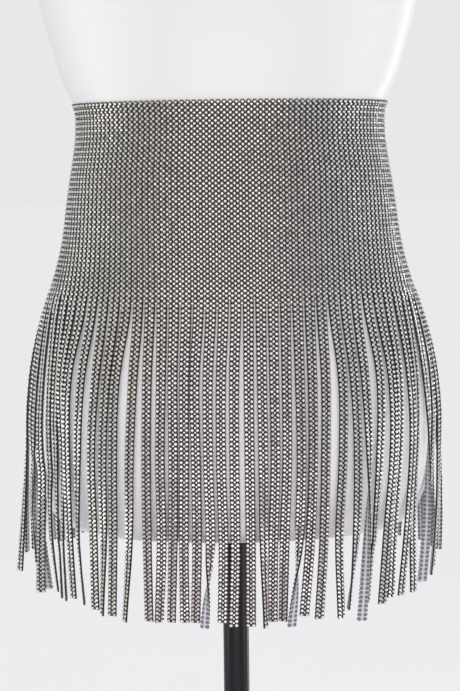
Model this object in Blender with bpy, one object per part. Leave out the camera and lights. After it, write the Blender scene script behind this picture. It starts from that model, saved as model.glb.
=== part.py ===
"""A rhinestone fringe belt worn on a limbless dress form that stands on a pole.

Metres, +Z up. The origin is the centre of the base plate's underside.
The front of the belt faces -Y, and +X is on the right of someone who looks at the front.
"""

import math
from collections import namedtuple

import bpy
import numpy as np

# Belt
BELT_TOP = 1.050
BAND_HEIGHT = 0.1405
FRINGE_LENGTH = 0.2460
FRINGE_STRIP_HEIGHT = 0.006
CLOTH_WALL = 0.0020
STRIPS = 76
STRIP_WIDTH = 0.0070
FRONT_PITCH = 0.00906
BAND_ROWS = 8
STRAND_STEPS = 10
STRAND_STEP_POWER = 1.2
HANG_LEVELS = 24
SEAM_GAP = 0.0003

# The belt is turned on the form by this part of a strip's pitch
BELT_PHASE = -0.2

# Clearance between the cloth and the form, and a little more for the free strips
FORM_GAP = 0.0005
STRAND_ROOM = 0.0003

# Centre back fastening
BACK_OPENING = 0.004
BAR_WIDTH = 0.0045
BAR_WALL = 0.0012
HOOK_WIDTH = 0.016
HOOK_HEIGHT = 0.009
HOOK_WALL = 0.0014
HOOK_CORNER_STEPS = 3
HOOK_DROPS = (0.012, 0.070, 0.128)

# Dress form
FORM_BOTTOM = 0.724
NECK_TOP = 1.490
SECTION_POWER = 2.1

# Stand
POLE_RADIUS = 0.0102
COLLAR_RADIUS = 0.030
COLLAR_HEIGHT = 0.012
BASE_RADIUS = 0.170
BASE_THICKNESS = 0.008
BASE_CHAMFER = 0.002
HUB_RADIUS = 0.032
HUB_HEIGHT = 0.012
FLANGE_CHAMFER = 0.003
POLE_SIDES = 24
BASE_SIDES = 60

BAND_BOTTOM = BELT_TOP - BAND_HEIGHT
FRINGE_TOP = BAND_BOTTOM - SEAM_GAP
STRAND_ROOT = FRINGE_TOP - FRINGE_STRIP_HEIGHT
FRINGE_BOTTOM = BAND_BOTTOM - FRINGE_LENGTH
HALF_STRIPS = STRIPS // 2

# Horizontal sections of the form, from the cut bottom up to the neck
Section = namedtuple("Section", "height half_width front back")
FORM_SECTIONS = (
    Section(0.7240, 0.1320, 0.1070, 0.1080),
    Section(0.7270, 0.1370, 0.1105, 0.1120),
    Section(0.7450, 0.1490, 0.1140, 0.1180),
    Section(0.7700, 0.1568, 0.1150, 0.1210),
    Section(0.8000, 0.1590, 0.1130, 0.1210),
    Section(0.8300, 0.1568, 0.1080, 0.1170),
    Section(0.8600, 0.1525, 0.1010, 0.1100),
    Section(0.8935, 0.1450, 0.0930, 0.1010),
    Section(0.9125, 0.1385, 0.0895, 0.0960),
    Section(0.9315, 0.1330, 0.0870, 0.0920),
    Section(0.9500, 0.1293, 0.0850, 0.0890),
    Section(0.9690, 0.1268, 0.0835, 0.0865),
    Section(0.9880, 0.1240, 0.0820, 0.0845),
    Section(1.0070, 0.1208, 0.0805, 0.0830),
    Section(1.0280, 0.1183, 0.0795, 0.0820),
    Section(1.0460, 0.1195, 0.0800, 0.0820),
    Section(1.0570, 0.1245, 0.0810, 0.0822),
    Section(1.0710, 0.1305, 0.0828, 0.0830),
    Section(1.0910, 0.1364, 0.0860, 0.0850),
    Section(1.1110, 0.1420, 0.0910, 0.0880),
    Section(1.1310, 0.1465, 0.0970, 0.0920),
    Section(1.1800, 0.1530, 0.1080, 0.1000),
    Section(1.2300, 0.1580, 0.1150, 0.1050),
    Section(1.2800, 0.1620, 0.1080, 0.1060),
    Section(1.3300, 0.1650, 0.0930, 0.1020),
    Section(1.3700, 0.1570, 0.0780, 0.0920),
    Section(1.4000, 0.1310, 0.0690, 0.0820),
    Section(1.4180, 0.0980, 0.0620, 0.0730),
    Section(1.4320, 0.0710, 0.0560, 0.0650),
    Section(1.4500, 0.0590, 0.0530, 0.0590),
    Section(1.4850, 0.0560, 0.0530, 0.0560),
    Section(1.4900, 0.0530, 0.0500, 0.0530),
)

# How each strip in view hangs, in order from the centre front to the side.
# quarter, half, late, end: shift to the right in view at each quarter of the length, mm.
# lift: how far the end stands out from the form, mm. turn: twist at the end, degrees.
# turn_from: the part of the length where the twist begins. drop: extra length, mm.
Hang = namedtuple("Hang", "quarter half late end lift turn turn_from drop")
RIGHT_HANGS = (
    Hang(-2.0, -2.5, -2.5, -4.5, 1.0, 0, 0.5, 1.0),
    Hang(-0.5, -0.5, -0.5, -1.0, 1.0, 12, 0.4, 2.0),
    Hang(0.0, 0.0, -0.5, 0.5, 5.0, -60, 0.40, 1.5),
    Hang(0.0, 0.0, -2.3, -3.5, 1.0, 20, 0.70, -1.5),
    Hang(0.0, -0.5, -3.2, -5.3, 1.0, 35, 0.60, -2.0),
    Hang(0.5, 0.0, -3.5, -10.0, 6.0, 165, 0.58, 2.5),
    Hang(1.0, 0.5, -2.5, -8.0, 2.0, 12, 0.5, -4.5),
    Hang(2.0, 1.0, -1.0, -5.0, 1.0, 0, 0.5, -3.0),
    Hang(5.5, 4.5, 1.0, 2.0, 2.0, -20, 0.5, -3.0),
    Hang(5.0, 6.0, 3.5, -3.5, 4.0, -75, 0.62, -6.5),
    Hang(4.0, 4.5, 1.0, -4.5, 6.0, -160, 0.30, 2.0),
    Hang(6.5, 5.0, 0.0, -5.0, 1.0, -50, 0.35, -11.5),
    Hang(6.0, 5.0, -0.5, -5.5, 3.0, 12, 0.5, -6.5),
    Hang(3.5, 1.5, -3.0, -6.0, 1.0, 0, 0.5, -10.5),
    Hang(3.0, 2.0, -3.0, -9.5, 4.0, 0, 0.5, -12.0),
    Hang(1.0, -1.5, -4.5, -4.5, 1.0, 5, 0.5, -11.0),
    Hang(1.0, 0.0, -3.0, -8.5, 5.0, -130, 0.30, -18.0),
    Hang(2.0, 0.0, -3.0, -7.0, 1.0, -24, 0.30, -16.0),
    Hang(1.5, 0.0, -2.5, -7.5, 3.0, -20, 0.40, -16.5),
    Hang(2.5, 1.5, -1.0, -5.0, 1.0, 10, 0.50, -21.0),
)
LEFT_HANGS = (
    Hang(-2.5, -3.0, -2.0, -3.5, 1.0, 0, 0.5, -0.5),
    Hang(-3.0, -3.0, -2.0, -7.0, 4.0, -160, 0.68, 2.0),
    Hang(-3.5, -3.0, -3.0, -5.0, 1.0, 8, 0.5, -1.0),
    Hang(-2.0, -2.5, -3.5, -3.5, 1.0, 0, 0.5, -2.0),
    Hang(-1.5, -1.5, -2.5, -4.5, 1.0, 15, 0.6, -3.0),
    Hang(-1.0, -2.0, -1.2, -3.5, 2.5, -35, 0.60, -1.0),
    Hang(-2.5, -3.5, -3.5, -3.0, 1.0, 10, 0.5, -1.5),
    Hang(-4.0, -6.5, -7.0, -11.0, 3.0, 45, 0.45, -2.0),
    Hang(-8.0, -10.0, -10.5, -12.0, 1.0, 0, 0.5, -4.5),
    Hang(-6.0, -8.5, -8.0, -10.0, 2.0, 45, 0.50, -4.0),
    Hang(-5.0, -8.0, -7.0, -6.5, 1.0, 0, 0.5, -8.5),
    Hang(-6.5, -8.5, -8.5, -4.5, 2.0, 55, 0.35, -10.0),
    Hang(-7.5, -8.0, -7.0, -4.5, 1.0, 12, 0.5, -13.5),
    Hang(-4.5, -2.0, -2.5, -0.5, 2.0, 48, 0.30, -11.5),
    Hang(-1.0, 0.0, 1.5, 3.5, 1.0, 42, 0.30, -10.5),
    Hang(1.5, 3.5, 3.0, 9.0, 2.0, 32, 0.55, -13.5),
    Hang(2.5, 5.5, 5.5, 5.0, 6.0, -50, 0.20, -10.5),
    Hang(1.5, 3.5, 4.0, 11.0, 1.0, 130, 0.40, -10.5),
    Hang(2.0, 4.0, 1.5, 4.0, 1.0, 15, 0.50, -30.0),
    Hang(-1.5, -0.5, -3.0, -7.0, 3.0, -35, 0.40, -20.0),
)

# Strips out of view follow a fixed pseudo-random pattern within these sizes.
HIDDEN_SWAYS = (0.8, 1.5, 1.6, 2.4)
HIDDEN_LIFTS = (0.5, 4.0)
HIDDEN_TURNS = (0, 0, 12, -15, 40, -35)
HIDDEN_TURN_FROM = 0.55
HIDDEN_DROPS = (-33.0, -28.0)
HIDDEN_SEED = 1000

# Below the form a strip may swing in under it by this much
SWING_ROOM = 0.020


def clear_scene():
    for item in list(bpy.data.objects):
        bpy.data.objects.remove(item, do_unlink=True)


def material(name, colour, roughness, metallic=0.0):
    made = bpy.data.materials.new(name)
    made.use_nodes = True
    shader = made.node_tree.nodes["Principled BSDF"]
    shader.inputs["Base Color"].default_value = (*colour, 1.0)
    shader.inputs["Roughness"].default_value = roughness
    shader.inputs["Metallic"].default_value = metallic
    return made


def add_object(name, points, faces, finish, smooth_below=35.0):
    mesh = bpy.data.meshes.new(name)
    mesh.from_pydata([tuple(map(float, point)) for point in points], [], faces)
    mesh.validate()
    mesh.shade_smooth()
    mesh.set_sharp_from_angle(angle=math.radians(smooth_below))
    mesh.materials.append(finish)
    made = bpy.data.objects.new(name, mesh)
    bpy.context.scene.collection.objects.link(made)
    return made


def smooth_step(value):
    value = np.clip(value, 0.0, 1.0)
    return value * value * (3.0 - 2.0 * value)


def form_section(height):
    """The form's half width, front depth and back depth at a height, on smooth curves."""
    heights = np.array([row.height for row in FORM_SECTIONS])
    columns = np.array([row[1:] for row in FORM_SECTIONS])
    slopes = np.gradient(columns, heights, axis=0)
    below = int(np.clip(np.searchsorted(heights, height) - 1, 0, len(heights) - 2))
    span = heights[below + 1] - heights[below]
    u = np.clip((height - heights[below]) / span, 0.0, 1.0)
    keep = 2 * u**3 - 3 * u**2 + 1
    return (
        keep * columns[below]
        + (1 - keep) * columns[below + 1]
        + span * (u**3 - 2 * u**2 + u) * slopes[below]
        + span * (u**3 - u**2) * slopes[below + 1]
    )


def hanging_section(height):
    """The section that a strip hangs clear of: the widest of the form between it and its root."""
    levels = np.linspace(height, STRAND_ROOT, HANG_LEVELS)
    return np.max([form_section(level) for level in levels], axis=0)


class Outline:
    """One horizontal outline, read by its share of the way from centre front to centre back."""

    FRONT_ZONE = 0.15
    SIDE_ZONE = 0.45
    FRONT_SHARES = (0.72, 1.05)
    POINTS = 241

    def __init__(self, section, out):
        half_width, front, back = section
        angle = np.linspace(0.0, math.pi, self.POINTS)
        power = 2.0 / SECTION_POWER
        x = half_width * np.abs(np.sin(angle)) ** power
        depth = np.where(np.cos(angle) > 0, front, back)
        y = -depth * np.sign(np.cos(angle)) * np.abs(np.cos(angle)) ** power
        along = np.gradient(np.stack([x, y]), axis=1)
        along /= np.linalg.norm(along, axis=0)
        along[:, 0] = (1.0, 0.0)
        along[:, -1] = (-1.0, 0.0)
        self.bare = self.arc_of(x, y)[-1]
        self.x = x + out * along[1]
        self.y = y - out * along[0]
        self.x[0] = 0.0
        self.x[-1] = 0.0
        self.arc = self.arc_of(self.x, self.y)
        self.along = along

    @staticmethod
    def arc_of(x, y):
        steps = np.hypot(np.diff(x), np.diff(y))
        return np.concatenate([[0.0], np.cumsum(steps)])

    def share(self, turn):
        """The share of the arc at a column: even pitch in front, and the rest spread over the sides."""
        front_share = np.clip(HALF_STRIPS * FRONT_PITCH / self.bare, *self.FRONT_SHARES)
        zone = self.SIDE_ZONE - self.FRONT_ZONE
        u = np.clip((turn - self.FRONT_ZONE) / zone, 0.0, 1.0)
        eased = zone * (u**3 - u**4 / 2) + max(turn - self.SIDE_ZONE, 0.0)
        whole = zone / 2 + 1.0 - self.SIDE_ZONE
        return front_share * turn + (1.0 - front_share) * eased / whole

    def place(self, turn, slide=0.0):
        """(point, direction along, direction out) at a turn: 0 is centre front, 1 and -1 centre back."""
        if abs(turn) > 1.0:
            turn -= math.copysign(2.0, turn)
        side = -1.0 if turn < 0 else 1.0
        at = self.share(abs(turn)) * self.arc[-1] + side * slide
        if at < 0:
            side, at = -side, -at
        if at > self.arc[-1]:
            side, at = -side, 2 * self.arc[-1] - at
        point = np.array([side * np.interp(at, self.arc, self.x), np.interp(at, self.arc, self.y)])
        run = np.array(
            [np.interp(at, self.arc, self.along[0]), side * np.interp(at, self.arc, self.along[1])]
        )
        run /= np.linalg.norm(run)
        return point, run, np.array([run[1], -run[0]])


def belt_turn(steps):
    """The turn of a place on the belt, counted in strips from the middle of the belt."""
    return (steps + BELT_PHASE) / HALF_STRIPS


def loft(rings):
    """Points and faces of a closed solid through rings of equal length, listed from the bottom up."""
    count = len(rings[0])
    points = [point for ring in rings for point in ring]
    faces = []
    for level in range(len(rings) - 1):
        for k in range(count):
            a = level * count + k
            b = level * count + (k + 1) % count
            faces.append((a, b, b + count, a + count))
    for ring, is_top in ((0, False), (len(rings) - 1, True)):
        centre = len(points)
        points.append(np.mean(rings[ring], axis=0))
        for k in range(count):
            a = ring * count + k
            b = ring * count + (k + 1) % count
            faces.append((a, b, centre) if is_top else (b, a, centre))
    return points, faces


def form_levels():
    """Heights of the form's rings: close together where the belt lies on it, wider above."""
    under_belt = np.linspace(BAND_BOTTOM, BELT_TOP, BAND_ROWS + 1)
    lower = (FORM_BOTTOM, 0.727, 0.740, 0.760, 0.788, 0.818, 0.848, 0.877)
    upper = (1.062, 1.085, 1.115, 1.155, 1.205, 1.255, 1.305, 1.350, 1.382, 1.406, 1.426)
    neck = (1.445, 1.486, NECK_TOP)
    return (*lower, *under_belt, *upper, *neck)


def make_dress_form(finish):
    rings = []
    for height in form_levels():
        outline = Outline(form_section(height), 0.0)
        ring = []
        for k in range(-HALF_STRIPS + 1, HALF_STRIPS + 1):
            (x, y), _, _ = outline.place(belt_turn(k))
            ring.append((x, y, height))
        rings.append(ring)
    return add_object("dress_form", *loft(rings), finish, 60.0)


def turned(profile, sides):
    """Rings of a turned solid, from (radius, height) pairs listed from the bottom up."""
    rings = []
    for radius, height in profile:
        ring = []
        for k in range(sides):
            angle = 2 * math.pi * k / sides
            ring.append((radius * math.cos(angle), radius * math.sin(angle), height))
        rings.append(ring)
    return rings


def make_base(finish):
    profile = (
        (BASE_RADIUS - BASE_CHAMFER, 0.0),
        (BASE_RADIUS, BASE_CHAMFER),
        (BASE_RADIUS, BASE_THICKNESS - BASE_CHAMFER),
        (BASE_RADIUS - BASE_CHAMFER, BASE_THICKNESS),
    )
    return add_object("base_plate", *loft(turned(profile, BASE_SIDES)), finish)


def make_pole(finish):
    """The pole with its hub on the base and the collar that the form sits on."""
    foot = BASE_THICKNESS + SEAM_GAP
    hub_top = foot + HUB_HEIGHT
    top = FORM_BOTTOM - SEAM_GAP
    collar_foot = top - COLLAR_HEIGHT
    profile = (
        (HUB_RADIUS, foot),
        (HUB_RADIUS, hub_top - FLANGE_CHAMFER),
        (HUB_RADIUS - FLANGE_CHAMFER, hub_top),
        (POLE_RADIUS, hub_top),
        (POLE_RADIUS, collar_foot),
        (COLLAR_RADIUS - FLANGE_CHAMFER, collar_foot),
        (COLLAR_RADIUS, collar_foot + FLANGE_CHAMFER),
        (COLLAR_RADIUS, top),
    )
    return add_object("pole", *loft(turned(profile, POLE_SIDES)), finish)


def sheet_solid(columns):
    """Points and faces of an open-ended wall.

    Each column is a list of (inner, outer) point pairs from the bottom up.
    """
    rows = len(columns[0])
    points = [point for column in columns for pair in column for point in pair]

    def inner(column, row):
        return (column * rows + row) * 2

    def outer(column, row):
        return inner(column, row) + 1

    faces = []
    last = len(columns) - 1
    for c in range(last):
        for r in range(rows - 1):
            faces.append((outer(c, r), outer(c + 1, r), outer(c + 1, r + 1), outer(c, r + 1)))
            faces.append((inner(c + 1, r), inner(c, r), inner(c, r + 1), inner(c + 1, r + 1)))
        faces.append((inner(c, 0), inner(c + 1, 0), outer(c + 1, 0), outer(c, 0)))
        top = rows - 1
        faces.append((outer(c, top), outer(c + 1, top), inner(c + 1, top), inner(c, top)))
    for r in range(rows - 1):
        faces.append((inner(0, r), outer(0, r), outer(0, r + 1), inner(0, r + 1)))
        faces.append((outer(last, r), inner(last, r), inner(last, r + 1), outer(last, r + 1)))
    return points, faces


def back_edges(outline, inset):
    """The turns at a distance from the belt's seam at the back, on the left and on the right."""
    pitch = outline.arc[-1] * (1.0 - outline.share(1.0 - 1.0 / HALF_STRIPS))
    steps = HALF_STRIPS - inset / pitch
    return belt_turn(-steps), belt_turn(steps)


def make_wrap(name, heights, start_out, wall, finish, turns):
    """A wall that follows the form, its inner face start_out from it; turns(outline) lists its columns."""
    columns = None
    for height in heights:
        section = form_section(height)
        inner = Outline(section, start_out)
        outer = Outline(section, start_out + wall)
        places = turns(inner)
        if columns is None:
            columns = [[] for _ in places]
        for column, turn in zip(columns, places):
            near, _, _ = inner.place(turn)
            far, _, _ = outer.place(turn)
            column.append(((*near, height), (*far, height)))
    return add_object(name, *sheet_solid(columns), finish)


def make_band(finish):
    heights = np.linspace(BAND_BOTTOM, BELT_TOP, BAND_ROWS + 1)

    def turns(outline):
        left, right = back_edges(outline, BACK_OPENING / 2)
        middle = [belt_turn(k) for k in range(-HALF_STRIPS + 1, HALF_STRIPS)]
        return [left, *middle, right]

    return make_wrap("belt_band", heights, FORM_GAP, CLOTH_WALL, finish, turns)


def make_back_bars(finish):
    heights = np.linspace(BAND_BOTTOM, BELT_TOP, BAND_ROWS + 1)
    start = FORM_GAP + CLOTH_WALL + SEAM_GAP
    for side, name in enumerate(("back_bar_left", "back_bar_right")):

        def turns(outline, side=side):
            near = back_edges(outline, BACK_OPENING / 2)[side]
            far = back_edges(outline, BACK_OPENING / 2 + BAR_WIDTH)[side]
            return sorted((near, far))

        make_wrap(name, heights, start, BAR_WALL, finish, turns)


def rounded_plate(half_width, half_height, corner, steps):
    """Points of a rectangle with round corners, anticlockwise."""
    points = []
    for quarter, (cx, cz) in enumerate(((1, 1), (-1, 1), (-1, -1), (1, -1))):
        for step in range(steps + 1):
            angle = math.pi / 2 * (quarter + step / steps)
            x = cx * (half_width - corner) + corner * math.cos(angle)
            z = cz * (half_height - corner) + corner * math.sin(angle)
            points.append((x, z))
    return points


def make_back_hooks(finish):
    """Flat plates that lie on both end bars and follow the slope of the back."""
    start = FORM_GAP + CLOTH_WALL + BAR_WALL + 2 * SEAM_GAP
    half_height = HOOK_HEIGHT / 2
    plate = rounded_plate(HOOK_WIDTH / 2, half_height, HOOK_HEIGHT / 4, HOOK_CORNER_STEPS)
    for number, drop in enumerate(HOOK_DROPS, 1):
        middle = BELT_TOP - drop
        (x, y), _, _ = Outline(form_section(middle), start).place(belt_turn(HALF_STRIPS))
        above = form_section(middle + half_height)[2]
        below = form_section(middle - half_height)[2]
        slope = (above - below) / HOOK_HEIGHT
        rings = []
        for out in (0.0, HOOK_WALL):
            ring = [(x - dx, y + out + dz * slope, middle + dz) for dx, dz in plate]
            rings.append(ring)
        add_object(f"back_hook_{number}", *loft(rings), finish)


def strand_hang(number):
    """How a strip hangs, by its number: 0 and up go right from the centre front, -1 and down left."""
    index = number if number >= 0 else -number - 1
    seen = RIGHT_HANGS if number >= 0 else LEFT_HANGS
    if index < len(seen):
        return seen[index]
    draw = np.random.RandomState(HIDDEN_SEED + number)
    return Hang(
        *(draw.uniform(-sway, sway) for sway in HIDDEN_SWAYS),
        draw.uniform(*HIDDEN_LIFTS),
        draw.choice(HIDDEN_TURNS),
        HIDDEN_TURN_FROM,
        draw.uniform(*HIDDEN_DROPS),
    )


def shift_in_view(hang, u):
    """The shift to the right in view at a part of the length, in metres, on a smooth curve."""
    marks = np.array([0.0, 0.25, 0.5, 0.75, 1.0])
    shifts = np.array([0.0, *hang[:4]]) / 1000
    slopes = np.gradient(shifts, marks)
    slopes[0] = 0.0
    below = min(int(u * 4), 3)
    span = marks[1]
    v = (u - marks[below]) / span
    keep = 2 * v**3 - 3 * v**2 + 1
    bend = span * ((v**3 - 2 * v**2 + v) * slopes[below] + (v**3 - v**2) * slopes[below + 1])
    return keep * shifts[below] + (1 - keep) * shifts[below + 1] + bend


def strand_place(number, u):
    """(point, direction across, direction through) of a strip at a part of its length."""
    hang = strand_hang(number)
    turn = belt_turn(number + 0.5)
    height = STRAND_ROOT - (STRAND_ROOT - FRINGE_BOTTOM + hang.drop / 1000) * u
    angle = math.radians(hang.turn) * smooth_step((u - hang.turn_from) / (1 - hang.turn_from))
    beside_form = height > FORM_BOTTOM - STRIP_WIDTH
    half_depth = CLOTH_WALL / 2 * abs(math.cos(angle)) + STRIP_WIDTH / 2 * abs(math.sin(angle))
    stand_out = hang.lift / 1000 * smooth_step(u)
    if beside_form:
        stand_out = max(stand_out, half_depth - CLOTH_WALL / 2)
    clear = FORM_GAP + STRAND_ROOM + CLOTH_WALL / 2
    outline = Outline(hanging_section(height), clear + stand_out)
    _, along, outward = outline.place(turn)
    shift = shift_in_view(hang, u)
    point, along, outward = outline.place(turn, shift * along[0])
    swing = shift * outward[0]
    if swing < 0:
        room = SWING_ROOM
        if beside_form:
            bare, _, _ = Outline(form_section(height), FORM_GAP + half_depth).place(turn)
            room = max(np.dot(point - bare, outward), 0.0)
        swing = max(swing, -room)
    point = point + outward * swing
    across = along * math.cos(angle) + outward * math.sin(angle)
    through = outward * math.cos(angle) - along * math.sin(angle)
    return np.array([*point, height]), across, through


def strand_sections(number):
    """The four corners of a strip at each step below its root, inner left first.

    The steps are shorter near the root, where the form curves most.
    """
    sections = []
    for step in range(1, STRAND_STEPS + 1):
        point, across, through = strand_place(number, (step / STRAND_STEPS) ** STRAND_STEP_POWER)
        corners = []
        for side, face in ((-1, -1), (-1, 1), (1, -1), (1, 1)):
            x, y = point[:2] + across * side * STRIP_WIDTH / 2 + through * face * CLOTH_WALL / 2
            corners.append((x, y, point[2]))
        sections.append(corners)
    return sections


def make_fringe(finish):
    """A narrow uncut strip with every fringe strip grown from its lower edge."""
    top = Outline(form_section(FRINGE_TOP), FORM_GAP)
    numbers = range(-HALF_STRIPS, HALF_STRIPS)

    def edges(outline):
        """(turn, slide) at the seam and at both edges of each strip."""
        left, right = back_edges(outline, BACK_OPENING / 2)
        places = [(left, 0.0)]
        for number in numbers:
            turn = belt_turn(number + 0.5)
            places += [(turn, -STRIP_WIDTH / 2), (turn, STRIP_WIDTH / 2)]
        return [*places, (right, 0.0)]

    columns = [[] for _ in edges(top)]
    for height in (STRAND_ROOT, FRINGE_TOP):
        section = form_section(height)
        inner = Outline(section, FORM_GAP)
        outer = Outline(section, FORM_GAP + CLOTH_WALL)
        for column, (turn, slide) in zip(columns, edges(inner)):
            near, _, _ = inner.place(turn, slide)
            far, _, _ = outer.place(turn, slide)
            column.append(((*near, height), (*far, height)))
    points, faces = sheet_solid(columns)
    rows = 2
    for index, number in enumerate(numbers):
        left = (1 + 2 * index) * rows * 2
        right = left + rows * 2
        root = (left, left + 1, right, right + 1)
        underside = (left, right, right + 1, left + 1)
        faces.remove(underside)
        above = root
        for corners in strand_sections(number):
            first = len(points)
            points += corners
            below = (first, first + 1, first + 2, first + 3)
            for a, b in ((0, 2), (2, 3), (3, 1), (1, 0)):
                faces.append((above[a], above[b], below[b], below[a]))
            above = below
        faces.append((above[0], above[2], above[3], above[1]))
    return add_object("belt_fringe", points, faces, finish)


def main():
    clear_scene()
    white = material("form_white", (0.86, 0.86, 0.87), 0.55)
    black = material("pole_black", (0.02, 0.02, 0.022), 0.35)
    mesh = material("belt_mesh", (0.30, 0.30, 0.32), 0.30, 0.7)
    trim = material("belt_trim", (0.05, 0.05, 0.055), 0.45, 0.6)
    make_dress_form(white)
    make_base(black)
    make_pole(black)
    make_band(mesh)
    make_fringe(mesh)
    make_back_bars(trim)
    make_back_hooks(trim)


main()
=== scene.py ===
"""Looks of a rhinestone fringe belt worn on a limbless dress form.

Metres, +Z up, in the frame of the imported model. The belt's front faces -Y.
"""

import math
from collections import namedtuple
from functools import lru_cache

import bpy
import numpy as np
from mathutils import Euler, Matrix, Vector


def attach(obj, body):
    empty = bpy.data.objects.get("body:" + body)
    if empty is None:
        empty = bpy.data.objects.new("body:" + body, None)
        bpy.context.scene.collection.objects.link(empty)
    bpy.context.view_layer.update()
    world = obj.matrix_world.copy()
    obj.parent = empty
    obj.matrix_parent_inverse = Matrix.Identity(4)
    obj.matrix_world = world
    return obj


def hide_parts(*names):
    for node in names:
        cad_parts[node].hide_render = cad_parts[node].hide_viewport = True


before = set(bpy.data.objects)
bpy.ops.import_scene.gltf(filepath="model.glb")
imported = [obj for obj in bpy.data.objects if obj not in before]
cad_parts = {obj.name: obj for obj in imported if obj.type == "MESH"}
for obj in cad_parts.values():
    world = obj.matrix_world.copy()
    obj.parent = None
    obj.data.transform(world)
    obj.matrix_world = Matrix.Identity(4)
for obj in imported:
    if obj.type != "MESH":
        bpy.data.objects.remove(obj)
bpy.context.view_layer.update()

# Belt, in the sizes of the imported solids
BELT_TOP = 1.050
BAND_HEIGHT = 0.1405
FRINGE_LENGTH = 0.2460
FRINGE_STRIP_HEIGHT = 0.006
CLOTH_WALL = 0.0020
STRIPS = 76
STRIP_WIDTH = 0.0070
FRONT_PITCH = 0.00906
SEAM_GAP = 0.0003
BELT_PHASE = -0.2
FORM_GAP = 0.0005
STRAND_ROOM = 0.0003
BACK_OPENING = 0.004
BAR_WIDTH = 0.0045
BAR_WALL = 0.0012
HOOK_WIDTH = 0.016
HOOK_HEIGHT = 0.009
HOOK_WALL = 0.0014
HOOK_DROPS = (0.012, 0.070, 0.128)

# Dress form and stand
FORM_BOTTOM = 0.724
NECK_TOP = 1.490
SECTION_POWER = 2.1
POLE_RADIUS = 0.0102
COLLAR_RADIUS = 0.030
COLLAR_HEIGHT = 0.012
BASE_RADIUS = 0.170
BASE_THICKNESS = 0.008
BASE_CHAMFER = 0.002
HUB_RADIUS = 0.032
HUB_HEIGHT = 0.012
FLANGE_CHAMFER = 0.003

BAND_BOTTOM = BELT_TOP - BAND_HEIGHT
FRINGE_TOP = BAND_BOTTOM - SEAM_GAP
STRAND_ROOT = FRINGE_TOP - FRINGE_STRIP_HEIGHT
FRINGE_BOTTOM = BAND_BOTTOM - FRINGE_LENGTH
HALF_STRIPS = STRIPS // 2
STRIP_NUMBERS = range(-HALF_STRIPS, HALF_STRIPS)

# Thin net that the stones stand on. END_ROOM: net beyond a strip's last row of stones. A strip's
# shape is worked out at its stations, and its net's rows lie between them.
NET_WALL = 0.0006
END_ROOM = 0.0015
BAND_NET_ROWS = 30
STRIP_NET_ROWS = 36
STRAND_STATIONS = 25

# Rows of large stones: their pitch at depths below the belt's top edge, and how far they go on
# beyond the fringe's usual end
ROW_DEPTHS = (0.0, 0.1455, 0.384)
ROW_PITCHES = (0.00394, 0.00355, 0.00305)
ROWS_BEYOND = 0.012

# A strip draws in below its root. Each pair has the size at the root and the one that it keeps
# beyond this part of its length.
CLOSE_BY = 0.35
NET_HALF_WIDTHS = (0.0040, 0.0034)
COLUMN_OFFSETS = (0.00226, 0.00205)
FRINGE_SMALL_SIZES = (1.0, 0.78)

# Cups and stones: radii of the cup's foot, its rim where it has one, the stone and its flat top, and
# the heights of the stone's edge and top, in mm. seat: how far the stone sits above its cup's middle,
# mm. crown: strength of the painted shade on the slanted facets beside the flat top. most: the most in one
# piece.
Stone = namedtuple("Stone", "sides cup rim stone table edge top seat crown most")
STONES = {
    "band_large": Stone(8, 1.85, 1.70, 1.32, 0.75, 0.70, 1.55, -0.08, 0.95, 5400),
    "fringe_large": Stone(8, 1.85, 0.00, 1.34, 0.85, 0.80, 1.50, -0.26, 1.15, 5400),
    "band_small": Stone(4, 1.80, 0.00, 1.35, 0.88, 0.06, 0.20, -0.08, 0.90, 9000),
    "fringe_small": Stone(4, 1.80, 0.00, 1.38, 0.90, 0.12, 0.32, -0.26, 1.00, 9000),
}
LARGE_CUP = STONES["band_large"].cup / 1000

# Each stone's own slant, at most, degrees
STONE_TILT = 5.0

# Painted shade of the facets, darker on the upper ones and lighter on the lower ones, counted round
# the stone, before the flat top's own painted highlight
PAINTED_FACET_SHADES = {
    8: (0.35, 0.15, 0.10, 0.10, 0.30, 0.50, 0.60, 0.90, 0.80, 0.95, 0.70, 0.60),
    4: (0.30, 0.15, 0.60, 0.80),
}

# The band's outermost columns, in strips from the seam at the back
BESIDE_SEAM = 0.6

# How far below their roots small stones still join two strips, between these limits at random
JOINED_LENGTHS = (-0.002, 0.012)
JOINED_SEED = 7

# Tape over the band's cut ends: its thickness at even steps across, and the part of it that the
# edges keep, as shares of the full thickness
TAPE_RIDGE = (0.0, 0.55, 0.9, 1.0, 1.0, 0.9, 0.55, 0.0)
TAPE_EDGE = 0.25
TAPE_ROWS = 40

# Hook plates: the corners' radius, the bevel, and the upright share of the side below it
HOOK_CORNER = HOOK_HEIGHT / 4
HOOK_BEVEL = 0.0004
HOOK_SIDE = 0.7
CORNER_STEPS = 6

# Small slope where the pole meets the hub and the collar, and the stand's sides
POLE_FILLET = 0.001
POLE_SIDES = 96
BASE_SIDES = 180

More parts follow.
